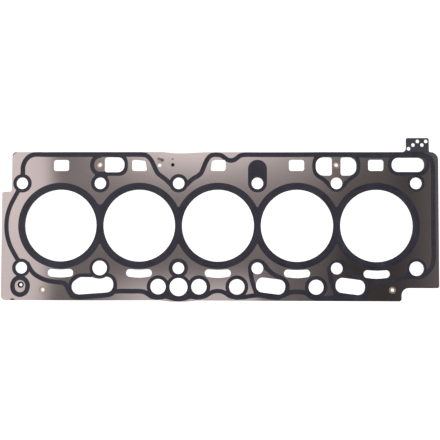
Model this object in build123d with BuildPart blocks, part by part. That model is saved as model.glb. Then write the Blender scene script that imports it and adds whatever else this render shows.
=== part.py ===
from build123d import *
import math
import os

os.makedirs("parts", exist_ok=True)

# ---------------------------------------------------------------------------
# Multi-layer steel cylinder head gasket for an in-line five-cylinder engine.
# Millimetres, +Z up.  X runs along the row of bores, Y across the engine.
# The origin is on the axis of the middle bore, at the underside.
# ---------------------------------------------------------------------------

# --- stack, from the block side up ------------------------------------------
SHEET = 0.25            # spring-steel bead layer
BEAD = 0.25             # free height of a pressed bead
CARRIER = 0.75          # carrier (spacer) sheet
STOPPER = 0.10          # welded stopper ring
LOWER_Z = 0.0
SPACER_Z = SHEET + BEAD
UPPER_Z = SPACER_Z + CARRIER + BEAD
TOP_Z = UPPER_Z + SHEET

# --- bores and bolts --------------------------------------------------------
BORE_PITCH = 91.0
BORE_R = 41.5
BORES = [(BORE_PITCH * i, 0.0) for i in (-2, -1, 0, 1, 2)]
BOLT_R = 6.75
BOLT_X = [BORE_PITCH * i for i in (-2.5, -1.5, -0.5, 0.5, 1.5, 2.5)]
BOLT_Y = 49.0
DOWEL_LEFT = (-136.5, -49.0, 8.5)
DOWEL_RIGHT = (227.5, -49.0, 8.25)
BOLTS = [(x, BOLT_Y) for x in BOLT_X] + [
    (x, -BOLT_Y) for x in BOLT_X if x not in (DOWEL_LEFT[0], DOWEL_RIGHT[0])
]

# --- round oil and coolant ports: x, y, radius --------------------------------
PORTS = [
    (-68.8, -70.3, 8.9),
    (-45.2, -70.7, 10.4),
    (-21.7, -70.3, 8.9),
    (21.9, -70.3, 8.9),
    (112.8, -70.4, 8.6),
]
VENT = (-67.7, 70.0, 2.2)            # through all three sheets
ORIFICE = (-227.8, -68.5)            # metering hole in the carrier only
ORIFICE_R = 1.85
ORIFICE_WINDOW_R = 3.7               # clearance round it in the bead layers
SIGHT_HOLE = (-52.4, 70.4, 2.1)      # in the upper layer only
CODE_HOLE_R = 2.1
CODE_HOLES = [(219.5, 89.0), (224.6, 93.3), (229.7, 97.5), (234.8, 93.3), (239.2, 97.5)]

# --- rivets ---------------------------------------------------------------------
RIVETS = {
    "rivet_top_left": (-137.0, 70.3),
    "rivet_top_right": (136.2, 70.0),
    "rivet_bottom_left": (-202.2, -74.3),
    "rivet_bottom_right": (199.8, -73.5),
}
RIVET_BORE_R = 1.95      # inside of the tube
RIVET_R = 2.4            # outside of the tube
RIVET_HEAD_R = 3.2       # rolled heads
RIVET_HEAD = 0.22        # height of a head
DIMPLE_R = 3.65          # pressed seat that sinks each head below the face

# --- plan outline: x, y, corner radius --------------------------------------------
TAB_TOP = 101.4
EDGE_TOP = 85.1
EDGE_TOP_LEFT = 85.4
OUTLINE = [
    (-250.8, -86.35, 5.0), (-150.0, -86.35, 80.0), (-67.0, -85.95, 12.0), (-55.0, -87.5, 16.0),
    (-36.0, -87.5, 16.0), (-24.0, -86.1, 12.0), (210.2, -86.3, 2.8), (210.2, -71.1, 8.4),
    (253.1, -71.1, 2.4), (253.1, EDGE_TOP, 9.0),
]
OUTLINE_TAB = [
    (242.7, EDGE_TOP, 1.7), (242.7, TAB_TOP, 1.9), (216.4, TAB_TOP, 1.9), (216.4, EDGE_TOP, 4.6),
]
OUTLINE_END = [
    (-14.0, EDGE_TOP, 14.0), (-40.0, 83.9, 20.0), (-50.0, 83.9, 20.0), (-64.0, EDGE_TOP_LEFT, 14.0),
]
CORNER_SPACER = [(-239.5, EDGE_TOP_LEFT, 4.5)]
CORNER_OUTER = [(-239.5, EDGE_TOP_LEFT, 7.6)]     # bead layers are cut back at this corner
OUTLINE_LEFT = [(-239.5, 39.2, 2.6), (-250.8, 39.2, 2.6)]
EDGE_NOTCH = (-237.3, -87.65, 3.4)            # half-round notch in the bead layers


def box_loop(x0, y0, x1, y1, tl, tr, br, bl):
    """Corners of an upright window with its own radius at each corner."""
    return [(x0, y0, bl), (x1, y0, br), (x1, y1, tr), (x0, y1, tl)]


def slot_loop(cx, cy, length, height, r, angle):
    """Corners of a rounded slot turned by angle degrees."""
    c, s = math.cos(math.radians(angle)), math.sin(math.radians(angle))
    half = [(-length / 2, -height / 2), (length / 2, -height / 2),
            (length / 2, height / 2), (-length / 2, height / 2)]
    return [(cx + c * x - s * y, cy + s * x + c * y, r) for x, y in half]


def kidney_loop(cx, y_top, y_bottom, half=15.0, sag=0.9, rise=1.7, r=4.2):
    """Coolant slot under a bore: its long sides bow a little with the bore."""
    return [
        (cx - half, y_bottom + rise, r), (cx, y_bottom - 0.2, 60.0), (cx + half, y_bottom + rise, r),
        (cx + half, y_top + sag, r), (cx, y_top - 0.1, 60.0), (cx - half, y_top + sag, r),
    ]


# --- windows for coolant, oil return and the castings' pockets ----------------------
WINDOWS = [
    box_loop(-191.0, 63.3, -173.0, 76.3, 2.8, 2.8, 2.8, 2.8),
    [(-99.8, 63.3, 2.8), (-82.0, 63.3, 2.2), (-84.2, 75.2, 2.5), (-95.0, 76.3, 3.0), (-99.8, 76.3, 1.6)],
    [(-8.8, 63.3, 2.2), (8.8, 63.3, 2.8), (8.8, 76.3, 2.8), (-3.6, 76.3, 3.0), (-7.0, 75.0, 2.0)],
    box_loop(81.8, 63.3, 99.5, 76.3, 2.8, 2.8, 2.8, 2.8),
    box_loop(172.8, 63.3, 190.5, 76.3, 2.8, 2.8, 2.8, 2.8),
    box_loop(-131.5, 61.8, -108.5, 79.3, 2.8, 8.0, 8.0, 2.8),
    box_loop(112.8, 57.9, 131.3, 79.1, 8.8, 3.0, 3.0, 9.4),
    box_loop(141.2, 57.9, 159.4, 79.1, 3.0, 8.8, 9.4, 3.0),
    box_loop(199.8, 62.1, 237.0, 78.5, 7.6, 7.6, 7.6, 7.6),
    [(-168.9, -80.2, 8.8), (-120.6, -76.6, 8.4), (-120.6, -59.2, 7.9), (-129.2, -59.2, 2.0),
     (-132.0, -61.0, 5.0), (-136.5, -61.6, 12.0), (-141.0, -61.0, 5.0), (-144.8, -59.8, 2.5),
     (-159.5, -59.5, 8.0), (-168.9, -66.3, 8.0)],
    slot_loop(60.7, -69.2, 33.5, 17.2, 7.8, -7.3),
    slot_loop(151.8, -69.4, 33.7, 17.3, 7.8, -7.3),
] + [kidney_loop(x, -50.9, -60.3) for x, _ in BORES[:4]] + [kidney_loop(BORES[4][0], -51.4, -60.8)]

# --- beads ------------------------------------------------------------------------
# Each bead is a groove in the outer face and a ridge on the inner face, with a wall
# of the sheet's own thickness between them.  Half widths of the groove are given.
BORE_BEAD_R = 44.2
BORE_BEAD = 0.80
RING_BEAD = 0.65
LINE_BEAD = 0.80
RING_BEADS = [
    (x, y, 8.65) for x, y in BOLTS
    if (x, y) not in [(45.5, 49.0), (136.5, 49.0), (45.5, -49.0), (136.5, -49.0)]
] + [
    (DOWEL_LEFT[0], DOWEL_LEFT[1], 10.3), (DOWEL_RIGHT[0], DOWEL_RIGHT[1], 10.1),
    (-68.8, -70.3, 10.9), (-45.2, -70.7, 12.5), (-21.7, -70.3, 10.9),
    (21.9, -70.3, 10.9), (112.8, -70.4, 10.9),
]
LINE_BEADS = [
    # top edge, left corner, down to the first bolt
    [(-88.0, 82.3), (-214.0, 82.3), (-219.9, 79.8), (-224.3, 74.9), (-226.7, 68.0), (-227.3, 57.6)],
    # left end, bolt to bolt
    [(-230.0, 40.7), (-236.4, 32.2), (-241.2, 22.5), (-244.4, 11.5), (-245.5, 0.0),
     (-244.4, -11.5), (-241.2, -22.5), (-236.2, -32.2), (-230.0, -40.7)],
    # lower left bolt to the long window
    [(-219.6, -45.6), (-213.0, -55.8), (-204.0, -61.5), (-195.0, -64.5), (-184.5, -65.9), (-178.0, -67.0),
     (-171.5, -70.6)],
    # dip between the second and third bolts
    [(-90.0, 82.3), (-85.0, 81.7), (-80.6, 79.4), (-76.9, 74.8), (-72.3, 64.8), (-69.2, 60.0),
     (-59.8, 53.0), (-53.0, 45.8)],
    [(-38.0, 45.8), (-32.0, 52.2), (-20.8, 60.0), (-17.8, 65.0), (-13.7, 75.0), (-10.6, 79.8),
     (-6.0, 82.2), (0.5, 82.4), (5.5, 80.7), (11.5, 76.5), (15.0, 75.7), (18.5, 76.5), (24.5, 80.7),
     (30.0, 82.3), (112.0, 82.6), (160.0, 82.4)],
    # right-hand run along the top and round the corner
    [(158.0, 82.4), (166.0, 81.8), (232.0, 81.6), (241.0, 80.4), (245.7, 75.8), (247.2, 67.0),
     (247.2, -38.0), (245.0, -46.5), (240.5, -53.0), (234.4, -57.0)],
    # lower right dowel to the last window
    [(218.6, -53.9), (210.5, -59.8), (200.0, -62.9), (188.0, -64.4), (170.8, -65.0)],
    # round the long window, and its line to the first port
    [(-145.2, -57.1), (-158.5, -57.2), (-162.8, -58.7), (-167.2, -62.0), (-170.4, -65.8), (-171.5, -70.0),
     (-171.2, -75.2), (-166.5, -81.6), (-158.0, -82.7), (-130.0, -80.2), (-122.2, -78.3), (-118.4, -72.0),
     (-118.4, -63.8), (-121.7, -58.6), (-128.2, -55.4)],
    [(-119.2, -75.2), (-89.0, -75.2), (-84.0, -76.3), (-76.8, -81.4), (-68.0, -82.4)],
    # under the three ports, and the two arches
    [(-68.0, -82.4), (-60.0, -81.6), (-52.0, -83.5), (-45.2, -84.3), (-38.4, -83.5), (-31.0, -81.6),
     (-21.0, -82.4)],
    [(-21.0, -82.4), (-14.2, -80.9), (-8.0, -77.0), (-3.0, -75.3), (3.0, -75.3), (8.0, -77.0),
     (14.2, -80.9), (21.5, -82.4), (38.0, -80.6), (46.0, -80.0), (54.0, -80.5), (68.0, -82.2)],
    [(76.5, -78.9), (84.5, -76.1), (91.0, -75.7), (97.5, -76.1), (104.5, -79.6), (112.8, -82.6),
     (160.0, -82.4)],
    # loops round the second and third slots and their bolts
    [(43.4, -78.8), (39.9, -65.0), (37.2, -52.0), (37.6, -45.5), (41.6, -41.3), (47.0, -40.4),
     (52.2, -43.2), (58.0, -50.8), (66.5, -57.3), (77.4, -63.8), (79.9, -69.5), (78.6, -76.2),
     (72.6, -81.4), (66.0, -82.1)],
    [(134.4, -81.2), (130.9, -65.0), (128.2, -52.0), (128.6, -45.5), (132.6, -41.3), (138.0, -40.4),
     (143.2, -43.2), (149.0, -50.8), (157.6, -57.3), (168.6, -63.8), (171.1, -69.5), (169.8, -76.2),
     (163.8, -81.2), (157.0, -82.3)],
    # round the pair of upper windows and their bolt
    [(118.0, 82.0), (112.4, 78.4), (110.5, 71.0), (110.9, 64.4), (114.6, 57.6), (122.6, 52.2),
     (130.6, 43.0), (136.5, 40.2), (142.4, 43.0), (150.2, 52.2), (158.0, 57.6), (161.6, 64.4),
     (161.9, 71.0), (160.0, 78.4), (154.4, 82.0)],
]
CLOSED_BEADS = [
    # round the tongue window
    [(-119.0, 81.6, 3.0), (-108.8, 81.4, 8.4), (-106.8, 70.5, 12.0), (-108.8, 60.4, 8.4), (-120.0, 59.8, 8.0),
     (-143.2, 59.9, 8.0), (-146.6, 70.4, 12.0), (-143.4, 81.4, 8.4)],
    # round the right-hand slot
    box_loop(197.4, 59.3, 241.3, 81.6, 9.6, 9.6, 9.6, 9.6),
    # round the metering orifice
    box_loop(-237.2, -80.0, -220.1, -60.6, 8.2, 8.2, 8.2, 8.2),
    # round the closed coolant pad and its bolt
    box_loop(36.7, 40.4, 54.5, 74.2, 8.4, 8.4, 8.4, 8.4),
]


def loop_face(points):
    """Face inside a closed loop of (x, y, corner radius)."""
    with BuildLine() as edge:
        FilletPolyline(*[(x, y) for x, y, _ in points], radius=[r for *_, r in points], close=True)
    return make_face(edge.edges(), mode=Mode.PRIVATE)


def corner_radii(points):
    """Radius at each inner corner, as large as its two runs allow."""
    radii = []
    for a, b, c in zip(points, points[1:], points[2:]):
        run_in, run_out = math.dist(a, b), math.dist(b, c)
        turn = math.atan2(c[1] - b[1], c[0] - b[0]) - math.atan2(b[1] - a[1], b[0] - a[0])
        turn = abs((turn + math.pi) % (2 * math.pi) - math.pi)
        radii.append(0.45 * min(run_in, run_out) / math.tan(turn / 2))
    return radii


def offset_corner(a, b, c, radius, distance):
    """Corner b of a run a, b, c moved to the left by distance, with its new radius."""
    way_in = math.atan2(b[1] - a[1], b[0] - a[0])
    way_out = math.atan2(c[1] - b[1], c[0] - b[0])
    turn = (way_out - way_in + math.pi) % (2 * math.pi) - math.pi
    reach = distance / math.cos(turn / 2)
    side = way_in + turn / 2 + math.pi / 2
    return (b[0] + reach * math.cos(side), b[1] + reach * math.sin(side),
            radius - math.copysign(1, turn) * distance)


def offset_end(a, b, distance, reach):
    """End b of a run a, b made longer by reach and moved to the left by distance."""
    way = math.atan2(b[1] - a[1], b[0] - a[0])
    return (b[0] + reach * math.cos(way) - distance * math.sin(way),
            b[1] + reach * math.sin(way) + distance * math.cos(way), 0.1)


def band_face(points, half, reach):
    """Face of an open band along a run of points, flat at its ends and longer by reach."""
    radii = corner_radii(points)
    sides = []
    for distance in (half, -half):
        side = [offset_end(points[1], points[0], -distance, reach)]
        side += [offset_corner(a, b, c, r, distance)
                 for a, b, c, r in zip(points, points[1:], points[2:], radii)]
        side.append(offset_end(points[-2], points[-1], distance, reach))
        sides.append(side)
    return loop_face(sides[0] + sides[1][::-1])


def loop_offset(points, distance):
    """Closed loop of corners moved to the left by distance."""
    runs = zip([points[-1]] + points[:-1], points, points[1:] + [points[0]])
    return [offset_corner(a[:2], b[:2], c[:2], b[2], distance) for a, b, c in runs]


def bead_bands(grow):
    """Plan of every bead, each groove's half width grown by the given amount."""
    with BuildSketch() as bands:
        for x, y in BORES:
            with Locations((x, y)):
                Circle(BORE_BEAD_R + BORE_BEAD + grow)
        for x, y in BORES:
            with Locations((x, y)):
                Circle(BORE_BEAD_R - BORE_BEAD - grow, mode=Mode.SUBTRACT)
        for x, y, r in RING_BEADS:
            with BuildSketch(mode=Mode.PRIVATE) as ring:
                with Locations((x, y)):
                    Circle(r + RING_BEAD + grow)
                    Circle(r - RING_BEAD - grow, mode=Mode.SUBTRACT)
            add(ring.sketch)
        for points in CLOSED_BEADS:
            sides = [loop_face(loop_offset(points, d)) for d in (LINE_BEAD + grow, -LINE_BEAD - grow)]
            inner, outer = sorted(sides, key=lambda face: face.area)
            with BuildSketch(mode=Mode.PRIVATE) as loop:
                add(outer)
                add(inner, mode=Mode.SUBTRACT)
            add(loop.sketch)
        add([band_face(points, LINE_BEAD + grow, grow) for points in LINE_BEADS])
        with Locations(*RIVETS.values()):
            Circle(DIMPLE_R + grow)
    return bands.sketch


def sheet_plan(corner, tab):
    """Plan of one sheet with every hole that all the sheets share."""
    edge = OUTLINE + (OUTLINE_TAB if tab else []) + OUTLINE_END + corner + OUTLINE_LEFT
    with BuildSketch() as plan:
        add(loop_face(edge))
        add([loop_face(window) for window in WINDOWS], mode=Mode.SUBTRACT)
        with Locations(*BORES):
            Circle(BORE_R, mode=Mode.SUBTRACT)
        with Locations(*BOLTS):
            Circle(BOLT_R, mode=Mode.SUBTRACT)
        for x, y, r in PORTS + [DOWEL_LEFT, DOWEL_RIGHT, VENT]:
            with Locations((x, y)):
                Circle(r, mode=Mode.SUBTRACT)
        with Locations(*RIVETS.values()):
            Circle(RIVET_R, mode=Mode.SUBTRACT)
    return plan.sketch


# Plan of a bead layer: cut back at one corner, notched, and open round the orifice.
with BuildSketch() as bead_layer_plan:
    add(sheet_plan(CORNER_OUTER, tab=False))
    with Locations(ORIFICE):
        Circle(ORIFICE_WINDOW_R, mode=Mode.SUBTRACT)
    with Locations(EDGE_NOTCH[:2]):
        Circle(EDGE_NOTCH[2], mode=Mode.SUBTRACT)
with BuildSketch() as grooved_plan:
    add(bead_layer_plan.sketch)
    add(bead_bands(0.0), mode=Mode.SUBTRACT)
with BuildSketch() as ridge_plan:
    add(bead_bands(SHEET))
    add(bead_layer_plan.sketch, mode=Mode.INTERSECT)

# --- lower bead layer: flat face down, beads pressed up towards the carrier ----------
with BuildPart() as lower_bead_layer:
    with BuildSketch(Plane.XY.offset(LOWER_Z)):
        add(grooved_plan.sketch)
    extrude(amount=SHEET)
    with BuildSketch(Plane.XY.offset(SHEET)):
        add(ridge_plan.sketch)
    extrude(amount=BEAD)

# --- upper bead layer: the lower one turned over, with a sight hole of its own --------
with BuildPart() as upper_bead_layer:
    mirror(lower_bead_layer.part, about=Plane.XY.offset(TOP_Z / 2))
    with Locations((*SIGHT_HOLE[:2], UPPER_Z + SHEET / 2)):
        Cylinder(SIGHT_HOLE[2], SHEET, mode=Mode.SUBTRACT)

# --- carrier sheet with the thickness-code tab ----------------------------------------
with BuildPart() as spacer_layer:
    with BuildSketch(Plane.XY.offset(SPACER_Z)):
        add(sheet_plan(CORNER_SPACER, tab=True))
        with Locations(*CODE_HOLES):
            Circle(CODE_HOLE_R, mode=Mode.SUBTRACT)
        with Locations(ORIFICE):
            Circle(ORIFICE_R, mode=Mode.SUBTRACT)
    extrude(amount=CARRIER)

layers = {
    "lower_bead_layer": lower_bead_layer.part,
    "upper_bead_layer": upper_bead_layer.part,
    "spacer_layer": spacer_layer.part,
}

# --- stopper rings, welded on the carrier round each bore -------------------------------
STOPPER_WIDTH = 1.3
stoppers = {}
for number, (x, y) in enumerate(BORES, start=1):
    with BuildPart() as bore_stopper:
        with BuildSketch(Plane.XY.offset(SPACER_Z + CARRIER)):
            with Locations((x, y)):
                Circle(BORE_R + STOPPER_WIDTH)
                Circle(BORE_R, mode=Mode.SUBTRACT)
        extrude(amount=STOPPER)
    stoppers[f"bore_stopper_{number}"] = bore_stopper.part

# --- hollow rivets, rolled over into a seat in each bead layer ----------------------------
rivets = {}
for rivet_name, (x, y) in RIVETS.items():
    with BuildPart() as hollow_rivet:
        with BuildSketch(Plane(origin=(x, y, 0), x_dir=(1, 0, 0), z_dir=(0, -1, 0))) as section:
            with BuildLine():
                Polyline(
                    (RIVET_BORE_R, SHEET - RIVET_HEAD), (RIVET_HEAD_R, SHEET - RIVET_HEAD),
                    (RIVET_HEAD_R, SHEET), (RIVET_R, SHEET), (RIVET_R, UPPER_Z),
                    (RIVET_HEAD_R, UPPER_Z), (RIVET_HEAD_R, UPPER_Z + RIVET_HEAD),
                    (RIVET_BORE_R, UPPER_Z + RIVET_HEAD), close=True,
                )
            make_face()
            rims = section.vertices().group_by(Axis.Y)
            fillet(rims[0] + rims[-1], radius=0.12)
        revolve(axis=Axis((x, y, 0), (0, 0, 1)))
    rivets[rivet_name] = hollow_rivet.part

for node_name, part in {**layers, **stoppers, **rivets}.items():
    part.label = node_name
    export_step(part, f"parts/{node_name}.step")
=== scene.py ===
import math

import bpy
import numpy as np
from mathutils import Euler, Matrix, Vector
from mathutils.geometry import delaunay_2d_cdt


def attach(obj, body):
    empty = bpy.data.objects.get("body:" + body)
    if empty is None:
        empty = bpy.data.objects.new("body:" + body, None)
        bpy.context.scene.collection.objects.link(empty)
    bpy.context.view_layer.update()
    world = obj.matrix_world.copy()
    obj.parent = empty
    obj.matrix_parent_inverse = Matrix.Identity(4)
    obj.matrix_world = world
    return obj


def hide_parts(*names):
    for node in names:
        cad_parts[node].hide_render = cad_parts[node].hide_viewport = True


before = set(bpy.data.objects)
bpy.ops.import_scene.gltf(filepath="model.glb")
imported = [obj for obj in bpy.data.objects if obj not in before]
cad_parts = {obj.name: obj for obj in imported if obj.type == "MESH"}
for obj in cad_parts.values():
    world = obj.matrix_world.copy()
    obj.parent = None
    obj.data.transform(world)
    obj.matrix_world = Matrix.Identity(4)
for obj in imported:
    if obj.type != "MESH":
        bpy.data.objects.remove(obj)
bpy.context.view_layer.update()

MM = 0.001

# ---------------------------------------------------------------------------
# Plan of the gasket in millimetres: X along the bores, Y across the engine.
# ---------------------------------------------------------------------------
SHEET = 0.25
BEAD = 0.25
SPACER_Z = 0.5
CARRIER = 0.75
UPPER_Z = 1.5
TOP_Z = 1.75
BORE_R = 41.5
BORES = [(91.0 * i, 0.0) for i in (-2, -1, 0, 1, 2)]
BORE_XS = [x for x, _ in BORES]
BOLT_R = 6.75
BOLT_X = [91.0 * i for i in (-2.5, -1.5, -0.5, 0.5, 1.5, 2.5)]
BOLT_Y = 49.0
DOWEL_LEFT = (-136.5, -49.0, 8.5)
DOWEL_RIGHT = (227.5, -49.0, 8.25)
BOLTS = [(x, BOLT_Y) for x in BOLT_X] + [
    (x, -BOLT_Y) for x in BOLT_X if x not in (DOWEL_LEFT[0], DOWEL_RIGHT[0])
]

PORTS = [
    (-68.8, -70.3, 8.9),
    (-45.2, -70.7, 10.4),
    (-21.7, -70.3, 8.9),
    (21.9, -70.3, 8.9),
    (112.8, -70.4, 8.6),
]
VENT = (-67.7, 70.0, 2.2)            # through all three sheets
ORIFICE = (-227.8, -68.5)            # metering hole in the carrier only
ORIFICE_R = 1.85
ORIFICE_WINDOW_R = 3.7               # clearance round it in the bead layers
SIGHT_HOLE = (-52.4, 70.4, 2.1)      # in the upper layer only
CODE_HOLE_R = 2.1
CODE_HOLES = [(219.5, 89.0), (224.6, 93.3), (229.7, 97.5), (234.8, 93.3), (239.2, 97.5)]

RIVETS = {
    "rivet_top_left": (-137.0, 70.3),
    "rivet_top_right": (136.2, 70.0),
    "rivet_bottom_left": (-202.2, -74.3),
    "rivet_bottom_right": (199.8, -73.5),
}

TAB_TOP = 101.4
EDGE_TOP = 85.1
EDGE_TOP_LEFT = 85.4
OUTLINE = [
    (-250.8, -86.35, 5.0), (-150.0, -86.35, 80.0), (-67.0, -85.95, 12.0), (-55.0, -87.5, 16.0),
    (-36.0, -87.5, 16.0), (-24.0, -86.1, 12.0), (210.2, -86.3, 2.8), (210.2, -71.1, 8.4),
    (253.1, -71.1, 2.4), (253.1, EDGE_TOP, 9.0),
]
OUTLINE_TAB = [
    (242.7, EDGE_TOP, 1.7), (242.7, TAB_TOP, 1.9), (216.4, TAB_TOP, 1.9), (216.4, EDGE_TOP, 4.6),
]
OUTLINE_END = [
    (-14.0, EDGE_TOP, 14.0), (-40.0, 83.9, 20.0), (-50.0, 83.9, 20.0), (-64.0, EDGE_TOP_LEFT, 14.0),
]
CORNER_SPACER = [(-239.5, EDGE_TOP_LEFT, 4.5)]
CORNER_OUTER = [(-239.5, EDGE_TOP_LEFT, 7.6)]     # bead layers are cut back at this corner
OUTLINE_LEFT = [(-239.5, 39.2, 2.6), (-250.8, 39.2, 2.6)]
EDGE_NOTCH = (-237.3, -87.65, 3.4)            # half-round notch in the bead layers

def box_loop(x0, y0, x1, y1, tl, tr, br, bl):
    """Corners of an upright window with its own radius at each corner."""
    return [(x0, y0, bl), (x1, y0, br), (x1, y1, tr), (x0, y1, tl)]


def slot_loop(cx, cy, length, height, r, angle):
    """Corners of a rounded slot turned by angle degrees."""
    c, s = math.cos(math.radians(angle)), math.sin(math.radians(angle))
    half = [(-length / 2, -height / 2), (length / 2, -height / 2),
            (length / 2, height / 2), (-length / 2, height / 2)]
    return [(cx + c * x - s * y, cy + s * x + c * y, r) for x, y in half]


def kidney_loop(cx, y_top, y_bottom, half=15.0, sag=0.9, rise=1.7, r=4.2):
    """Coolant slot under a bore: its long sides bow a little with the bore."""
    return [
        (cx - half, y_bottom + rise, r), (cx, y_bottom - 0.2, 60.0), (cx + half, y_bottom + rise, r),
        (cx + half, y_top + sag, r), (cx, y_top - 0.1, 60.0), (cx - half, y_top + sag, r),
    ]

WINDOWS = [
    box_loop(-191.0, 63.3, -173.0, 76.3, 2.8, 2.8, 2.8, 2.8),
    [(-99.8, 63.3, 2.8), (-82.0, 63.3, 2.2), (-84.2, 75.2, 2.5), (-95.0, 76.3, 3.0), (-99.8, 76.3, 1.6)],
    [(-8.8, 63.3, 2.2), (8.8, 63.3, 2.8), (8.8, 76.3, 2.8), (-3.6, 76.3, 3.0), (-7.0, 75.0, 2.0)],
    box_loop(81.8, 63.3, 99.5, 76.3, 2.8, 2.8, 2.8, 2.8),
    box_loop(172.8, 63.3, 190.5, 76.3, 2.8, 2.8, 2.8, 2.8),
    box_loop(-131.5, 61.8, -108.5, 79.3, 2.8, 8.0, 8.0, 2.8),
    box_loop(112.8, 57.9, 131.3, 79.1, 8.8, 3.0, 3.0, 9.4),
    box_loop(141.2, 57.9, 159.4, 79.1, 3.0, 8.8, 9.4, 3.0),
    box_loop(199.8, 62.1, 237.0, 78.5, 7.6, 7.6, 7.6, 7.6),
    [(-168.9, -80.2, 8.8), (-120.6, -76.6, 8.4), (-120.6, -59.2, 7.9), (-129.2, -59.2, 2.0),
     (-132.0, -61.0, 5.0), (-136.5, -61.6, 12.0), (-141.0, -61.0, 5.0), (-144.8, -59.8, 2.5),
     (-159.5, -59.5, 8.0), (-168.9, -66.3, 8.0)],
    slot_loop(60.7, -69.2, 33.5, 17.2, 7.8, -7.3),
    slot_loop(151.8, -69.4, 33.7, 17.3, 7.8, -7.3),
] + [kidney_loop(x, -50.9, -60.3) for x, _ in BORES[:4]] + [kidney_loop(BORES[4][0], -51.4, -60.8)]

RING_BEADS = [
    (x, y, 8.65) for x, y in BOLTS
    if (x, y) not in [(45.5, 49.0), (136.5, 49.0), (45.5, -49.0), (136.5, -49.0)]
] + [
    (DOWEL_LEFT[0], DOWEL_LEFT[1], 10.3), (DOWEL_RIGHT[0], DOWEL_RIGHT[1], 10.1),
    (-68.8, -70.3, 10.9), (-45.2, -70.7, 12.5), (-21.7, -70.3, 10.9),
    (21.9, -70.3, 10.9), (112.8, -70.4, 10.9),
]
LINE_BEADS = [
    # top edge, left corner, down to the first bolt
    [(-88.0, 82.3), (-214.0, 82.3), (-219.9, 79.8), (-224.3, 74.9), (-226.7, 68.0), (-227.3, 57.6)],
    # left end, bolt to bolt
    [(-230.0, 40.7), (-236.4, 32.2), (-241.2, 22.5), (-244.4, 11.5), (-245.5, 0.0),
     (-244.4, -11.5), (-241.2, -22.5), (-236.2, -32.2), (-230.0, -40.7)],
    # lower left bolt to the long window
    [(-219.6, -45.6), (-213.0, -55.8), (-204.0, -61.5), (-195.0, -64.5), (-184.5, -65.9), (-178.0, -67.0),
     (-171.5, -70.6)],
    # dip between the second and third bolts
    [(-90.0, 82.3), (-85.0, 81.7), (-80.6, 79.4), (-76.9, 74.8), (-72.3, 64.8), (-69.2, 60.0),
     (-59.8, 53.0), (-53.0, 45.8)],
    [(-38.0, 45.8), (-32.0, 52.2), (-20.8, 60.0), (-17.8, 65.0), (-13.7, 75.0), (-10.6, 79.8),
     (-6.0, 82.2), (0.5, 82.4), (5.5, 80.7), (11.5, 76.5), (15.0, 75.7), (18.5, 76.5), (24.5, 80.7),
     (30.0, 82.3), (112.0, 82.6), (160.0, 82.4)],
    # right-hand run along the top and round the corner
    [(158.0, 82.4), (166.0, 81.8), (232.0, 81.6), (241.0, 80.4), (245.7, 75.8), (247.2, 67.0),
     (247.2, -38.0), (245.0, -46.5), (240.5, -53.0), (234.4, -57.0)],
    # lower right dowel to the last window
    [(218.6, -53.9), (210.5, -59.8), (200.0, -62.9), (188.0, -64.4), (170.8, -65.0)],
    # round the long window, and its line to the first port
    [(-145.2, -57.1), (-158.5, -57.2), (-162.8, -58.7), (-167.2, -62.0), (-170.4, -65.8), (-171.5, -70.0),
     (-171.2, -75.2), (-166.5, -81.6), (-158.0, -82.7), (-130.0, -80.2), (-122.2, -78.3), (-118.4, -72.0),
     (-118.4, -63.8), (-121.7, -58.6), (-128.2, -55.4)],
    [(-119.2, -75.2), (-89.0, -75.2), (-84.0, -76.3), (-76.8, -81.4), (-68.0, -82.4)],
    # under the three ports, and the two arches
    [(-68.0, -82.4), (-60.0, -81.6), (-52.0, -83.5), (-45.2, -84.3), (-38.4, -83.5), (-31.0, -81.6),
     (-21.0, -82.4)],
    [(-21.0, -82.4), (-14.2, -80.9), (-8.0, -77.0), (-3.0, -75.3), (3.0, -75.3), (8.0, -77.0),
     (14.2, -80.9), (21.5, -82.4), (38.0, -80.6), (46.0, -80.0), (54.0, -80.5), (68.0, -82.2)],
    [(76.5, -78.9), (84.5, -76.1), (91.0, -75.7), (97.5, -76.1), (104.5, -79.6), (112.8, -82.6),
     (160.0, -82.4)],
    # loops round the second and third slots and their bolts
    [(43.4, -78.8), (39.9, -65.0), (37.2, -52.0), (37.6, -45.5), (41.6, -41.3), (47.0, -40.4),
     (52.2, -43.2), (58.0, -50.8), (66.5, -57.3), (77.4, -63.8), (79.9, -69.5), (78.6, -76.2),
     (72.6, -81.4), (66.0, -82.1)],
    [(134.4, -81.2), (130.9, -65.0), (128.2, -52.0), (128.6, -45.5), (132.6, -41.3), (138.0, -40.4),
     (143.2, -43.2), (149.0, -50.8), (157.6, -57.3), (168.6, -63.8), (171.1, -69.5), (169.8, -76.2),
     (163.8, -81.2), (157.0, -82.3)],
    # round the pair of upper windows and their bolt
    [(118.0, 82.0), (112.4, 78.4), (110.5, 71.0), (110.9, 64.4), (114.6, 57.6), (122.6, 52.2),
     (130.6, 43.0), (136.5, 40.2), (142.4, 43.0), (150.2, 52.2), (158.0, 57.6), (161.6, 64.4),
     (161.9, 71.0), (160.0, 78.4), (154.4, 82.0)],
]
CLOSED_BEADS = [
    # round the tongue window
    [(-119.0, 81.6, 3.0), (-108.8, 81.4, 8.4), (-106.8, 70.5, 12.0), (-108.8, 60.4, 8.4), (-120.0, 59.8, 8.0),
     (-143.2, 59.9, 8.0), (-146.6, 70.4, 12.0), (-143.4, 81.4, 8.4)],
    # round the right-hand slot
    box_loop(197.4, 59.3, 241.3, 81.6, 9.6, 9.6, 9.6, 9.6),
    # round the metering orifice
    box_loop(-237.2, -80.0, -220.1, -60.6, 8.2, 8.2, 8.2, 8.2),
    # round the closed coolant pad and its bolt
    box_loop(36.7, 40.4, 54.5, 74.2, 8.4, 8.4, 8.4, 8.4),
]

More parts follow.
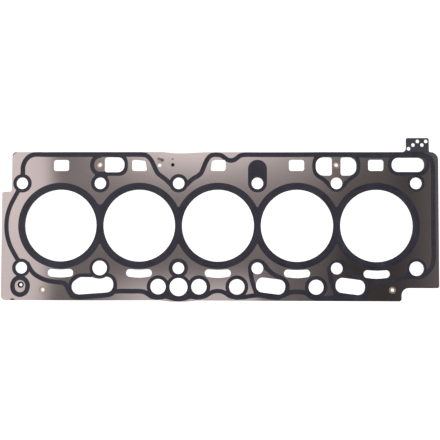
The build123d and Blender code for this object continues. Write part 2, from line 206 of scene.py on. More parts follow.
# ---- printed sealing film: rings, strokes of a given width, filled areas, bare patches
RINGS=[(x,0.,49.62) for x in BORE_XS]+[
 (-227.2,49,10.8),(-136.5,49,10.7),(-45.5,49,10.7),(136.5,49,9.9),(227.5,49,9.8),
 (-227.5,-49,10.6),(-45.5,-49,11.1),(45.5,-49,10.9),(136.5,-49,10.2),
 (-136.5,-49,11.6),(227.5,-49,11.2),
 (-68.8,-70.3,13.0),(-45.2,-70.7,14.3),(-21.7,-70.3,13.1),(21.9,-70.3,13.1),(112.8,-70.4,12.8)]
STROKES=[
 # width, smooth polyline
 (5.55,[(-84,81.9),(-90,82.4),(-120,82.4),(-160,82.4),(-200,82.4),(-214,82.4),(-220,79.9),(-224.4,74.9),(-226.8,68),(-226.9,61),(-228.1,55)]),
 (5.1,[(-226.9,44.9),(-231.3,40.8),(-236.1,32.7),(-240.9,22.9),(-244.2,12),(-245.3,0),(-244.2,-12),(-240.9,-22.9),(-235.8,-32.7),(-230.9,-40.3),(-226.4,-43.4)]),
 (5.3,[(-220.2,-44.3),(-217.2,-49.8),(-212.7,-55.7),(-203.8,-61.1),(-194.9,-64.1),(-186,-65.4),(-180.5,-66),(-177.4,-66.8),(-175.2,-68.6),(-173.6,-71.4),(-172.2,-74.6),(-170,-78.6),(-167.5,-81.4),(-164,-82.7)]),
 # top: after -86 dips round the two marks
 (5.25,[(-90,82.3),(-84.5,81.8),(-80.6,79.6),(-76.9,75),(-74.3,69.5),(-72,64.5),(-69.4,60.2),(-65,56.8),(-59.8,52.8),(-54.6,47.6)]),
 (5.35,[(-36.4,47.4),(-31.8,51.9),(-28,54.9),(-23.7,57.3),(-20,60.4),(-17.7,64.7),(-15.8,69.7),(-13.6,74.6),(-11,78.7),(-8.1,81.2),(-4,82.1),(0.5,82),(4.4,81),(7.8,78.4),(11.4,76.1),(15,75.4),(18.6,76.1),(22.2,78.5),(25.6,81),(30,82),(50,82),(80,82),(105,82.1),(114,82.5)]),
 (5.6,[(110,82.3),(120,82.3),(136,82.3),(152,82.3),(163,81.5),(180,81.4),(200,81.5)]),
 # around the tongue opening
 (4.85,[(-120,81.3),(-111.1,80.8),(-107.7,76.4),(-106.9,70.5),(-107.8,64.1),(-111.6,60.6),(-120,60.1),(-128,60.1),(-133,60.3),(-139.9,60.5),(-143.8,63.2),(-146,68),(-145.6,73.9),(-142.3,79),(-136.9,81)]),
 # twin openings
 (4.6,[(118.3,81),(113,78.1),(111.1,71.9),(111.2,66.1),(112.5,60.8),(116,57),(120.9,54),(125.4,49.9),(128.2,46.4)]),
 (4.3,[(154,81.4),(159.9,78.4),(161.8,72),(161.7,66),(160.5,61),(156.9,57.4),(152.4,54.1),(147.9,50.1),(145.2,46.1)]),
 # right slot
 (4.2,[(235.7,80.6),(240,77.3),(240.9,70),(239,63.8),(231.9,60.5),(220,60.3),(208.1,60.5),(200.8,62.2),(198.1,66.6),(198,73.4),(200.5,78.8)]),
 (5.0,[(200,81.7),(215,81.3),(232,81.3),(240.9,80.4),(245.3,76),(246.9,68),(247,40),(247,10),(247,-20),(246.8,-37.9),(244.8,-46.4),(240.2,-52.8),(233.9,-57.4),(227.4,-58.7)]),
 # bottom right
 (5.1,[(227.5,-58.5),(219,-57.7),(210,-60),(200,-62.9),(188,-64.4),(174,-64.6)]),
 # orifice oval
 (5.5,[(-228.8,-60.4),(-233.6,-61.9),(-236.7,-66.3),(-237.3,-71.5),(-235,-77.2),(-228.8,-80.1),(-222.5,-77.4),(-219.9,-71.5),(-220.4,-66.3),(-223.9,-61.9),(-228.8,-60.4)]),
 # slot A loop bottom and its line to the ports
 (4.6,[(-147,-57.6),(-158,-57.7),(-161.5,-58.2),(-164.4,-59.7),(-167,-62.1),(-169.2,-65.3),(-170.5,-69),(-170.8,-73),(-169,-78)]),
 (5.7,[(-168,-81.4),(-160,-82.6),(-148,-81.7),(-130,-80.2),(-123.4,-78.8),(-120.4,-76.4),(-119.1,-73)]),
 (4.8,[(-119.6,-76.5),(-118.6,-72),(-118.5,-67),(-119.5,-63),(-121.8,-59.9),(-125,-57.8),(-129,-56.5)]),
 (5.4,[(-119,-76),(-112,-75.6),(-100,-75.6),(-90,-75.6),(-85.1,-76.3),(-80.2,-78.9),(-76.1,-81.6),(-69.1,-82.8)]),
 (5.5,[(-72,-82),(-66,-82.4),(-60,-81.5),(-52,-83.5),(-45.2,-84.5),(-38.4,-83.5),(-31,-81.4),(-25,-82.4),(-20,-82.2)]),
 (5.25,[(46,-77.7),(56,-79.3),(68,-81.1)]),
 (6.4,[(136.9,-78.3),(146.9,-79.9),(158.9,-81.5)]),
 # arches
 (4.9,[(-20,-82.3),(-14,-80.8),(-9,-77.6),(-4.5,-75.6),(0,-75.1),(4.5,-75.6),(9,-77.6),(14,-81),(21,-82.4)]),
 (5.1,[(21,-82.6),(30,-82),(38,-80.6),(46,-80),(54,-80.8),(62,-82.2),(70,-82.5)]),
 (5.35,[(68,-81.8),(74.8,-80),(79.1,-75),(79.8,-69),(77.8,-64),(72.5,-60),(66.5,-57.3),(61.5,-54.1),(57.6,-50.2),(54.5,-46),(50.9,-42.3)]),
 (5.45,[(37.4,-49),(38.2,-57),(39.8,-64),(42.2,-71.5),(45,-78)]),
 (5.45,[(76,-79.6),(80,-77.7),(84,-76.2),(91,-75.8),(98,-76.2),(102,-77.7),(106,-80.7),(112.8,-82.7)]),
 (6.2,[(112.8,-83),(120,-83.1),(130,-83.1),(145,-82.9),(155,-82.8),(162,-82.5)]),
 (6.0,[(159,-82),(166,-80.2),(170.4,-75),(171.2,-69),(169.2,-63.8),(163.8,-59.8),(157.6,-57.1),(152.8,-53.9),(148.8,-50),(145.7,-45.8),(142.1,-42.1)]),
 (6.1,[(128.4,-49),(129.2,-57),(130.8,-64),(133.2,-71.6),(136,-78.1)]),
]
# filled coated areas
FILLS=[
    [(-141.3, -23.0, 0.5), (-136.5, -21.0, 0.8), (-131.7, -23.0, 0.5), (-131.7, 26.4, 0.5), (-136.5, 24.0, 0.8), (-141.3, 26.4, 0.5)],
    [(-50.3, -23.0, 0.5), (-45.5, -21.0, 0.8), (-40.7, -23.0, 0.5), (-40.7, 23.8, 0.5), (-45.5, 21.4, 0.8), (-50.3, 23.8, 0.5)],
    [(40.7, -23.0, 0.5), (45.5, -21.0, 0.8), (50.3, -23.0, 0.5), (50.3, 23.8, 0.5), (45.5, 21.4, 0.8), (40.7, 23.8, 0.5)],
    [(131.7, -23.0, 0.5), (136.5, -21.0, 0.8), (141.3, -23.0, 0.5), (141.3, 23.8, 0.5), (136.5, 21.4, 0.8), (131.7, 23.8, 0.5)],
 box_loop(34.7,38.5,56.5,76.2,10.5,10.5,10.5,10.5),
 box_loop(-143,50,-128,62,3,3,3,3),
 box_loop(-233,-63,-223.8,-55,3,3,3,3),
 box_loop(-52,-62,-39,-52,3,3,3,3),
 box_loop(205,80.2,240,85,2,6,2,2),
 [(-61.5, -84.0, 1.0), (-56.5, -84.5, 1.0), (-56.0, -76.0, 1.0), (-61.0, -76.0, 1.0)],
 [(-34.0, -84.5, 1.0), (-29.0, -84.0, 1.0), (-30.0, -76.0, 1.0), (-35.0, -76.0, 1.0)],
]
# bare patches laid over the coating
BARE=[
 box_loop(-234.9,-77.6,-222.3,-63.0,5.8,6.0,6.2,6.2),
 [(119.5,57.7,1),(127.2,51.2,1),(129.9,46.5,1),(136.5,49,1),(143.1,46.5,1),(145.8,51.2,1),(152.5,57.7,1),(152,62,1),(120,62,1)],
 [(40.0,-52.5,.5),(45.5,-49,.5),(53.4,-49.6,.5),(56.6,-52.6,1),(60.6,-56.1,2),(66,-59.3,2),(71,-61.6,1),(60,-69,1),(46,-69,1),(43.2,-68,1),(41.9,-63.5,1),(40.4,-57,1)],
 [(131.0,-52.5,.5),(136.5,-49,.5),(144.4,-49.6,.5),(147.6,-52.6,1),(151.6,-56.1,2),(157,-59.3,2),(162,-61.6,1),(151,-69,1),(137,-69,1),(134.2,-68,1),(132.9,-63.5,1),(131.4,-57,1)],
]

# ---------------------------------------------------------------------------
# Plan curves
# ---------------------------------------------------------------------------
FLATNESS = 0.02          # how far a chord may leave its arc


def arc_steps(r, sweep):
    return max(3, int(math.ceil(abs(sweep) / (2.0 * math.acos(max(0.0, 1.0 - FLATNESS / max(r, 0.05)))))))


def rounded(points, closed=True):
    """Points of a loop or run whose corners (x, y, radius) are arcs."""
    n, out = len(points), []
    for i in range(n):
        x1, y1, r = points[i]
        if not closed and i in (0, n - 1):
            out.append((x1, y1))
            continue
        x0, y0, _ = points[i - 1]
        x2, y2, _ = points[(i + 1) % n]
        ax, ay, bx, by = x0 - x1, y0 - y1, x2 - x1, y2 - y1
        la, lb = math.hypot(ax, ay), math.hypot(bx, by)
        ax, ay, bx, by = ax / la, ay / la, bx / lb, by / lb
        angle = math.acos(max(-1.0, min(1.0, ax * bx + ay * by)))
        if abs(math.pi - angle) < 1e-4:
            out.append((x1, y1))
            continue
        t = r / math.tan(angle / 2)
        most = 0.92 * min(la, lb) if r < 20 else 0.47 * min(la, lb)
        if t > most:
            t = most
            r = t * math.tan(angle / 2)
        p = (x1 + ax * t, y1 + ay * t)
        q = (x1 + bx * t, y1 + by * t)
        mx, my = ax + bx, ay + by
        ml = math.hypot(mx, my)
        d = r / math.sin(angle / 2)
        cx, cy = x1 + mx / ml * d, y1 + my / ml * d
        a0 = math.atan2(p[1] - cy, p[0] - cx)
        da = (math.atan2(q[1] - cy, q[0] - cx) - a0 + math.pi) % (2 * math.pi) - math.pi
        m = arc_steps(r, da)
        out += [(cx + r * math.cos(a0 + da * k / m), cy + r * math.sin(a0 + da * k / m)) for k in range(m + 1)]
    return np.array(out)


def circle(x, y, r):
    m = arc_steps(r, 2 * math.pi)
    return np.array([(x + r * math.cos(2 * math.pi * k / m), y + r * math.sin(2 * math.pi * k / m)) for k in range(m)])


def corner_radii(points):
    radii = [0.0]
    for a, b, c in zip(points, points[1:], points[2:]):
        run_in, run_out = math.dist(a, b), math.dist(b, c)
        turn = math.atan2(c[1] - b[1], c[0] - b[0]) - math.atan2(b[1] - a[1], b[0] - a[0])
        turn = abs((turn + math.pi) % (2 * math.pi) - math.pi)
        radii.append(0.45 * min(run_in, run_out) / math.tan(turn / 2) if turn > 1e-5 else 0.0)
    return radii + [0.0]


def smooth_run(points, step=1.2):
    """Curve through the points (centripetal Catmull-Rom)."""
    closed = points[0] == points[-1]
    P, out, n = list(points), [], len(points)
    for i in range(n - 1):
        p1, p2 = P[i], P[i + 1]
        p0 = P[i - 1] if i > 0 else (P[-2] if closed else (2 * p1[0] - p2[0], 2 * p1[1] - p2[1]))
        p3 = P[i + 2] if i + 2 < n else (P[1] if closed else (2 * p2[0] - p1[0], 2 * p2[1] - p1[1]))
        t0 = 0.0
        t1 = t0 + math.dist(p0, p1) ** 0.5
        t2 = t1 + math.dist(p1, p2) ** 0.5
        t3 = t2 + math.dist(p2, p3) ** 0.5
        m = max(1, int(math.dist(p1, p2) / step))
        for k in range(m):
            t = t1 + (t2 - t1) * k / m

            def mix(a, b, ta, tb):
                w = (t - ta) / (tb - ta)
                return (a[0] + (b[0] - a[0]) * w, a[1] + (b[1] - a[1]) * w)

            a1, a2, a3 = mix(p0, p1, t0, t1), mix(p1, p2, t1, t2), mix(p2, p3, t2, t3)
            out.append(mix(mix(a1, a2, t0, t2), mix(a2, a3, t1, t3), t1, t2))
    out.append(P[-1])
    return np.array(out)


# ---------------------------------------------------------------------------
# Distance fields: each works on an array of points and only near its shape
# ---------------------------------------------------------------------------
def near(pts, low, high):
    return np.nonzero((pts[:, 0] >= low[0]) & (pts[:, 0] <= high[0]) & (pts[:, 1] >= low[1]) & (pts[:, 1] <= high[1]))[0]


def run_distance(pts, run):
    """Distance from each point to a polyline."""
    best = np.full(len(pts), 1e9)
    a, b = run[:-1], run[1:]
    for s in range(0, len(a), 24):
        p0, p1 = a[s:s + 24], b[s:s + 24]
        low, high = np.minimum(p0, p1).min(0) - 9.0, np.maximum(p0, p1).max(0) + 9.0
        ids = near(pts, low, high)
        if not len(ids):
            continue
        q = pts[ids]
        d = (p1 - p0)[None]
        w = q[:, None, :] - p0[None]
        t = np.clip((w * d).sum(2) / np.maximum((d * d).sum(2), 1e-12), 0, 1)
        dist = np.sqrt((((w - t[..., None] * d)) ** 2).sum(2)).min(1)
        best[ids] = np.minimum(best[ids], dist)
    return best


def inside(pts, loop):
    """Which points lie inside a closed loop."""
    out = np.zeros(len(pts), bool)
    ids = near(pts, loop.min(0), loop.max(0))
    if not len(ids):
        return out
    q = pts[ids]
    a, b = loop, np.roll(loop, -1, 0)
    odd = np.zeros(len(q), bool)
    for (x0, y0), (x1, y1) in zip(a, b):
        if y0 == y1:
            continue
        hit = (y0 > q[:, 1]) != (y1 > q[:, 1])
        odd[hit] ^= q[hit, 0] < (x1 - x0) * (q[hit, 1] - y0) / (y1 - y0) + x0
    out[ids] = odd
    return out


def loop_signed(pts, loop):
    """Signed distance to a loop, positive inside, good to about 9 mm."""
    d = run_distance(pts, np.vstack([loop, loop[:1]]))
    return np.where(inside(pts, loop), d, -d)


BEAD_HALF = {"bore": (1.25, 0.70), "ring": (1.15, 0.60), "line": (1.35, 0.80)}
BEAD_RUNS = [rounded([(x, y, r) for (x, y), r in zip(points, corner_radii(points))], closed=False)
             for points in LINE_BEADS]
BEAD_RUNS += [np.vstack([rounded(points), rounded(points)[:1]]) for points in CLOSED_BEADS]
DIMPLE = (3.95, 3.50)


def bead_field(pts, dimples=True):
    """0 at the foot of a bead, 1 at its crest, more in the middle, below 0 outside."""
    out = np.full(len(pts), -6.0)

    def put(ids, dist, half):
        out[ids] = np.maximum(out[ids], (half[0] - dist) / (half[0] - half[1]))

    rings = [(x, y, 44.2, "bore") for x, y in BORES] + [(x, y, r, "ring") for x, y, r in RING_BEADS]
    for x, y, r, kind in rings:
        ids = near(pts, (x - r - 4, y - r - 4), (x + r + 4, y + r + 4))
        put(ids, np.abs(np.hypot(pts[ids, 0] - x, pts[ids, 1] - y) - r), BEAD_HALF[kind])
    for run in BEAD_RUNS:
        ids = near(pts, run.min(0) - 4, run.max(0) + 4)
        put(ids, run_distance(pts[ids], run), BEAD_HALF["line"])
    for x, y in RIVETS.values() if dimples else []:
        ids = near(pts, (x - 7, y - 7), (x + 7, y + 7))
        put(ids, np.hypot(pts[ids, 0] - x, pts[ids, 1] - y), DIMPLE)
    return out


def film_field(pts):
    """Positive where the sealing film is printed."""
    out = np.full(len(pts), -9.0)
    for x, y, r in RINGS:
        ids = near(pts, (x - r - 4, y - r - 4), (x + r + 4, y + r + 4))
        out[ids] = np.maximum(out[ids], r - np.hypot(pts[ids, 0] - x, pts[ids, 1] - y))
    for width, points in STROKES:
        run = smooth_run(points)
        ids = near(pts, run.min(0) - 8, run.max(0) + 8)
        out[ids] = np.maximum(out[ids], width / 2 - run_distance(pts[ids], run))
    for points in FILLS:
        loop = rounded(points)
        ids = near(pts, loop.min(0) - 5, loop.max(0) + 5)
        out[ids] = np.maximum(out[ids], loop_signed(pts[ids], loop))
    for points in BARE:
        loop = rounded(points)
        ids = near(pts, loop.min(0) - 5, loop.max(0) + 5)
        out[ids] = np.minimum(out[ids], 0.4 - loop_signed(pts[ids], loop))
    # every bead carries film right over its feet
    beads = bead_field(pts, dimples=False)
    return np.maximum(out, np.clip(beads * 0.55 + 0.2, None, 1.0))


# ---------------------------------------------------------------------------
# Contours of a field on a grid
# ---------------------------------------------------------------------------
GRID = 0.5
GX = np.arange(-256.0, 258.0, GRID)
GY = np.arange(-92.0, 106.0, GRID)
GRID_POINTS = np.stack(np.meshgrid(GX, GY), -1).reshape(-1, 2)


def contours(values, level):
    """Chains of points along which a grid of values crosses a level."""
    v = values.reshape(len(GY), len(GX)) - level
    v = np.where(np.abs(v) < 1e-6, 1e-6, v)
    pos = v > 0
    ny, nx = v.shape
    # ids: horizontal edge (j, i) -> j*nx+i, vertical edge -> ny*nx + j*nx+i
    h = pos[:, :-1] != pos[:, 1:]
    w = pos[:-1] != pos[1:]
    where = {}
    jj, ii = np.nonzero(h)
    t = v[jj, ii] / (v[jj, ii] - v[jj, ii + 1])
    for j, i, x in zip(jj.tolist(), ii.tolist(), (GX[ii] + t * GRID).tolist()):
        where[j * nx + i] = (x, GY[j])
    jj, ii = np.nonzero(w)
    t = v[jj, ii] / (v[jj, ii] - v[jj + 1, ii])
    for j, i, y in zip(jj.tolist(), ii.tolist(), (GY[jj] + t * GRID).tolist()):
        where[ny * nx + j * nx + i] = (GX[i], y)
    code = (pos[:-1, :-1] * 1 + pos[:-1, 1:] * 2 + pos[1:, 1:] * 4 + pos[1:, :-1] * 8)
    jj, ii = np.nonzero((code > 0) & (code < 15))
    links = {}
    B, R, T, L = 0, 1, 2, 3
    table = {1: [(L, B)], 2: [(B, R)], 3: [(L, R)], 4: [(R, T)], 6: [(B, T)], 7: [(L, T)],
             8: [(T, L)], 9: [(T, B)], 11: [(T, R)], 12: [(R, L)], 13: [(R, B)], 14: [(B, L)]}
    for j, i in zip(jj.tolist(), ii.tolist()):
        c = int(code[j, i])
        ids = (j * nx + i, ny * nx + j * nx + i + 1, (j + 1) * nx + i, ny * nx + j * nx + i)
        if c in (5, 10):
            middle = v[j, i] + v[j, i + 1] + v[j + 1, i] + v[j + 1, i + 1] > 0
            pairs = [(L, T), (B, R)] if (c == 5) == middle else [(L, B), (R, T)]
        else:
            pairs = table[c]
        for a, b in pairs:
            links.setdefault(ids[a], []).append(ids[b])
            links.setdefault(ids[b], []).append(ids[a])
    chains, seen = [], set()
    ends = [k for k, l in links.items() if len(l) == 1]
    for start in ends + list(links):
        if start in seen:
            continue
        chain, here, last = [start], start, None
        seen.add(start)
        while True:
            ahead = [k for k in links[here] if k != last and k not in seen]
            if not ahead:
                if len(chain) > 2 and start in links[here] and len(links[start]) == 2:
                    chain.append(start)
                break
            last, here = here, ahead[0]
            seen.add(here)
            chain.append(here)
        chains.append(np.array([where[k] for k in chain]))
    return chains


def thin_out(run, tolerance):
    """Fewer points on a run, none further from it than the tolerance."""
    n = len(run)
    if n < 3:
        return run
    keep = np.zeros(n, bool)
    keep[[0, n - 1]] = True
    stack = [(0, n - 1)]
    if np.allclose(run[0], run[-1]):
        far = int(np.argmax(((run - run[0]) ** 2).sum(1)))
        keep[far] = True
        stack = [(0, far), (far, n - 1)]
    while stack:
        a, b = stack.pop()
        if b - a < 2:
            continue
        p, q = run[a], run[b]
        d = q - p
        size = math.hypot(*d)
        m = run[a + 1:b] - p
        off = np.abs(m[:, 0] * d[1] - m[:, 1] * d[0]) / size if size > 1e-9 else np.hypot(m[:, 0], m[:, 1])
        k = int(np.argmax(off))
        if off[k] > tolerance:
            k += a + 1
            keep[k] = True
            stack += [(a, k), (k, b)]
    return run[keep]


# ---------------------------------------------------------------------------
# Plans of the sheets
# ---------------------------------------------------------------------------
SHARED_HOLES = [circle(x, y, BORE_R) for x, y in BORES]
SHARED_HOLES += [circle(x, y, BOLT_R) for x, y in BOLTS]
SHARED_HOLES += [circle(x, y, r) for x, y, r in PORTS + [DOWEL_LEFT, DOWEL_RIGHT, VENT]]
SHARED_HOLES += [circle(x, y, 2.4) for x, y in RIVETS.values()]
SHARED_HOLES += [rounded(points) for points in WINDOWS]


def outline(corner, tab):
    return rounded(OUTLINE + (OUTLINE_TAB if tab else []) + OUTLINE_END + corner + OUTLINE_LEFT)


def sheet_mesh(name, edge, holes, top_z, thick, sign, lines, materials):
    """A closed sheet with its plan's holes.  sign is -1 for beads pressed down,
    +1 for beads pressed up and 0 for a flat sheet.  On a bead sheet the outer face is shown printed;
    on the flat sheet the second material is painted shade round the orifice and under the sight hole."""
    loops = [edge] + holes
    verts, edges = [], []

    def add_run(run, closed):
        base = len(verts)
        verts.extend(Vector((float(x), float(y))) for x, y in run)
        edges.extend((base + k, base + k + 1) for k in range(len(run) - 1))
        if closed:
            edges.append((base + len(run) - 1, base))

    for loop in loops:
        add_run(loop, True)
    for run in lines:
        shut = np.allclose(run[0], run[-1])
        add_run(run[:-1] if shut else run, shut)
    out_verts, _, faces, *_ = delaunay_2d_cdt(verts, edges, [], 0, 1e-4, False)
    P = np.array([(v[0], v[1]) for v in out_verts])
    T = np.array([f for f in faces if len(f) == 3])
    c = P[T].mean(1)
    e1, e2 = P[T[:, 1]] - P[T[:, 0]], P[T[:, 2]] - P[T[:, 0]]
    area = e1[:, 0] * e2[:, 1] - e1[:, 1] * e2[:, 0]
    T[area < 0] = T[area < 0][:, ::-1]
    keep = inside(c, edge) & (np.abs(area) > 1e-9)
    for hole in holes:
        keep &= ~inside(c, hole)
    T, c = T[keep], c[keep]
    used = np.unique(T)
    remap = np.full(len(P), -1)
    remap[used] = np.arange(len(used))
    P, T = P[used], remap[T]
    n = len(P)
    slope = np.zeros((n, 2))
    height = np.zeros(n)
    if sign:
        F = bead_field(P)
        height = np.clip(F, 0, 1) * BEAD
        on = (F > 0.08) & (F < 0.92)
        q = P[on]
        s = 0.04
        slope[on, 0] = (bead_field(q + (s, 0)) - bead_field(q - (s, 0))) / (2 * s)
        slope[on, 1] = (bead_field(q + (0, s)) - bead_field(q - (0, s))) / (2 * s)
        slope *= BEAD * 1.15
    lift = sign * height
    up = top_z + lift
    V = np.zeros((2 * n, 3))
    V[:n, :2] = P
    V[:n, 2] = up
    V[n:, :2] = P
    V[n:, 2] = up - thick
    # rim
    directed = {}
    for a, b, d in T.tolist():
        for p, q in ((a, b), (b, d), (d, a)):
            directed[(p, q)] = 1
    rim = [(p, q) for (p, q) in directed if (q, p) not in directed]
    rim_tris = []
    for p, q in rim:
        rim_tris += [(q, p, n + p), (q, n + p, n + q)]
    tris = np.vstack([T, T[:, ::-1] + n, np.array(rim_tris)])
    mesh = bpy.data.meshes.new(name)
    mesh.vertices.add(len(V))
    mesh.vertices.foreach_set("co", (V * MM).astype(np.float32).ravel())
    mesh.loops.add(3 * len(tris))
    mesh.loops.foreach_set("vertex_index", tris.astype(np.int32).ravel())
    mesh.polygons.add(len(tris))
    mesh.polygons.foreach_set("loop_start", np.arange(0, 3 * len(tris), 3, dtype=np.int32))
    mesh.polygons.foreach_set("loop_total", np.full(len(tris), 3, np.int32))
    mesh.update(calc_edges=True)
    for m in materials:
        mesh.materials.append(m)
    m_index = np.zeros(len(tris), np.int32)
    if len(materials) > 1:
        # on the flat carrier the second material is painted shade: near-black round the orifice and under the sight
        # hole
        film = film_field(c) > 0 if sign else (np.hypot(*(c - ORIFICE).T) < 4.1) | (np.hypot(*(c - SIGHT_HOLE[:2]).T) < 2.8)
        film = film.astype(np.int32)
        if sign <= 0:
            m_index[:len(T)] = film
        else:
            m_index[len(T):2 * len(T)] = film
    mesh.polygons.foreach_set("material_index", m_index)
    mesh.polygons.foreach_set("use_smooth", np.ones(len(tris), bool))
    # normals: flat on the flats, rolling over each bead, square at the cut edges
    g = np.concatenate([-sign * slope, np.ones((n, 1))], 1)
    g /= np.linalg.norm(g, axis=1)[:, None]
    N = np.zeros((len(tris), 3, 3))
    N[:len(T)] = g[T]
    N[len(T):2 * len(T)] = -g[T[:, ::-1]]
    R = np.array(rim_tris)
    a, b, d = V[R[:, 0]], V[R[:, 1]], V[R[:, 2]]
    rn = np.cross(b - a, d - a)
    rn /= np.linalg.norm(rn, axis=1)[:, None] + 1e-12
    N[2 * len(T):] = rn[:, None, :]
    mesh.normals_split_custom_set(N.reshape(-1, 3).tolist())
    mesh.validate()
    mesh.update()
    obj = bpy.data.objects.new(name, mesh)
    bpy.context.scene.collection.objects.link(obj)
    print(name, "tris", len(tris), "verts", len(V))
    return obj


def turned(name, x, y, profile, material, segments):
    """A closed turned piece about a vertical axis at x, y."""
    verts, tris = [], []
    m = len(profile)
    for k in range(segments):
        a = 2 * math.pi * k / segments
        verts += [((x + r * math.cos(a)) * MM, (y + r * math.sin(a)) * MM, z * MM) for r, z in profile]
    for k in range(segments):
        b = ((k + 1) % segments) * m
        a = k * m
        for i in range(m):
            j = (i + 1) % m
            tris.append((a + i, b + i, b + j, a + j))
    mesh = bpy.data.meshes.new(name)
    mesh.from_pydata(verts, [], tris)
    mesh.materials.append(material)
    mesh.update()
    for p in mesh.polygons:
        p.use_smooth = True
    mesh.set_sharp_from_angle(angle=math.radians(38))
    obj = bpy.data.objects.new(name, mesh)
    bpy.context.scene.collection.objects.link(obj)
    return obj


# ---------------------------------------------------------------------------
# Materials.  Object coordinates are metres in the gasket's own frame.
# ---------------------------------------------------------------------------
class Shade:
    """A Principled material with a few helpers for its texture nodes."""

    def __init__(self, name, metallic, roughness, specular=0.5):
        self.mat = bpy.data.materials.new(name)
        self.mat.use_nodes = True
        self.nodes = self.mat.node_tree.nodes
        self.links = self.mat.node_tree.links
        self.bsdf = self.nodes["Principled BSDF"]
        self.bsdf.inputs["Metallic"].default_value = metallic
        self.bsdf.inputs["Roughness"].default_value = roughness
        self.bsdf.inputs["Specular IOR Level"].default_value = specular
        self.coords = self.nodes.new("ShaderNodeTexCoord").outputs["Object"]

    def noise(self, stretch, scale, detail=2.0, rough=0.5):
        mapping = self.nodes.new("ShaderNodeMapping")
        mapping.inputs["Scale"].default_value = stretch
        self.links.new(self.coords, mapping.inputs["Vector"])
        noise = self.nodes.new("ShaderNodeTexNoise")
        noise.inputs["Scale"].default_value = scale
        noise.inputs["Detail"].default_value = detail
        noise.inputs["Roughness"].default_value = rough
        self.links.new(mapping.outputs["Vector"], noise.inputs["Vector"])
        return noise.outputs["Fac"]

    def span(self, value, low, high, a=0.3, b=0.7):
        node = self.nodes.new("ShaderNodeMapRange")
        node.inputs["From Min"].default_value = a
        node.inputs["From Max"].default_value = b
        node.inputs["To Min"].default_value = low
        node.inputs["To Max"].default_value = high
        self.links.new(value, node.inputs["Value"])
        return node.outputs["Result"]

    def ramp(self, value, stops):
        node = self.nodes.new("ShaderNodeValToRGB")
        element = node.color_ramp.elements
        while len(element) < len(stops):
            element.new(0.5)
        for e, (at, colour) in zip(element, stops):
            e.position = at
            e.color = (*colour, 1.0)
        self.links.new(value, node.inputs["Fac"])
        return node.outputs["Color"]

    def mix(self, factor, a, b, mode="MIX"):
        node = self.nodes.new("ShaderNodeMix")
        node.data_type = "RGBA"
        node.blend_type = mode
        for socket, value in (("Factor", factor), ("A", a), ("B", b)):
            target = [i for i in node.inputs if i.name == socket and (socket == "Factor" or i.type == "RGBA")][0]
            if isinstance(value, (float, int)):
                target.default_value = value
            elif isinstance(value, tuple):
                target.default_value = (*value, 1.0)
            else:
                self.links.new(value, target)
        return [o for o in node.outputs if o.type == "RGBA"][0]

    def bump(self, value, strength, distance, under=None):
        node = self.nodes.new("ShaderNodeBump")
        node.inputs["Strength"].default_value = strength
        node.inputs["Distance"].default_value = distance
        self.links.new(value, node.inputs["Height"])
        if under is not None:
            self.links.new(under, node.inputs["Normal"])
        self.links.new(node.outputs["Normal"], self.bsdf.inputs["Normal"])
        return node.outputs["Normal"]

    def calc(self, operation, a, b):
        node = self.nodes.new("ShaderNodeMath")
        node.operation = operation
        for socket, value in zip(node.inputs, (a, b)):
            if isinstance(value, float):
                socket.default_value = value
            else:
                self.links.new(value, socket)
        return node.outputs["Value"]

    def rise(self, x, y, z, radius, height):
        """A round swelling on one face, in millimetres."""
        gap = self.nodes.new("ShaderNodeVectorMath")
        gap.operation = "DISTANCE"
        gap.inputs[1].default_value = (x * MM, y * MM, z * MM)
        self.links.new(self.coords, gap.inputs[0])
        node = self.nodes.new("ShaderNodeMapRange")
        node.interpolation_type = "SMOOTHSTEP"
        node.inputs["From Min"].default_value = radius * MM
        node.inputs["From Max"].default_value = 0.0
        node.inputs["To Max"].default_value = height
        self.links.new(gap.outputs["Value"], node.inputs["Value"])
        return node.outputs["Result"]

    def set(self, socket, value):
        self.links.new(value, self.bsdf.inputs[socket])


def rolled_steel(name, dark, light, roughness, grain, marks=(), heated=(), shade_spots=()):
    """Cold-rolled spring steel: fine lines along the sheet and a slight cloudiness."""
    m = Shade(name, 1.0, roughness)
    lines = m.noise((6.0, 140.0, 1.0), 16.0, 3.0, 0.6)
    cloud = m.noise((1.0, 1.0, 1.0), 22.0, 2.0, 0.5)
    tone = m.ramp(m.mix(0.35, lines, cloud), [(0.30, dark), (0.70, light)])
    warm = 0.0
    for x, y in heated:
        warm = m.calc("MAXIMUM", warm, m.rise(x, y, TOP_Z, 8.5, 1.0))
    if heated:
        tone = m.mix(warm, tone, (1.0, 0.93, 0.80), "MULTIPLY")
    spot_shade = 0.0
    # painted shade: darker spots multiplied into the steel's tone round the rivets, the punch marks and the vent
    for x, y, radius, amount in shade_spots:
        spot_shade = m.calc("MAXIMUM", spot_shade, m.rise(x, y, TOP_Z, radius, amount))
    if shade_spots:
        tone = m.mix(spot_shade, tone, (0.0, 0.0, 0.0), "MULTIPLY")
    m.set("Base Color", tone)
    m.set("Roughness", m.span(m.mix(0.4, lines, cloud), roughness * 0.8, roughness * 1.3))
    skin = m.bump(lines, grain, 0.00003)
    swell = 0.0
    for x, y, radius, height in marks:
        swell = m.calc("ADD", swell, m.rise(x, y, TOP_Z, radius, height))
    if marks:
        m.bump(swell, 1.0, MM, skin)
    return m.mat


def sealing_film(name):
    """Screen-printed rubber: dark blue-grey, softly mottled, with a fine printed skin."""
    m = Shade(name, 0.0, 0.32, 0.50)
    mottle = m.noise((1.0, 1.0, 1.0), 60.0, 3.0, 0.6)
    skin = m.noise((1.0, 1.0, 1.0), 1500.0, 2.0, 0.6)
    tone = m.ramp(mottle, [(0.32, (0.018, 0.0155, 0.028)), (0.68, (0.028, 0.0245, 0.041))])
    m.set("Base Color", tone)
    m.set("Roughness", m.span(mottle, 0.27, 0.37))
    m.bump(skin, 0.25, 0.00004)
    return m.mat


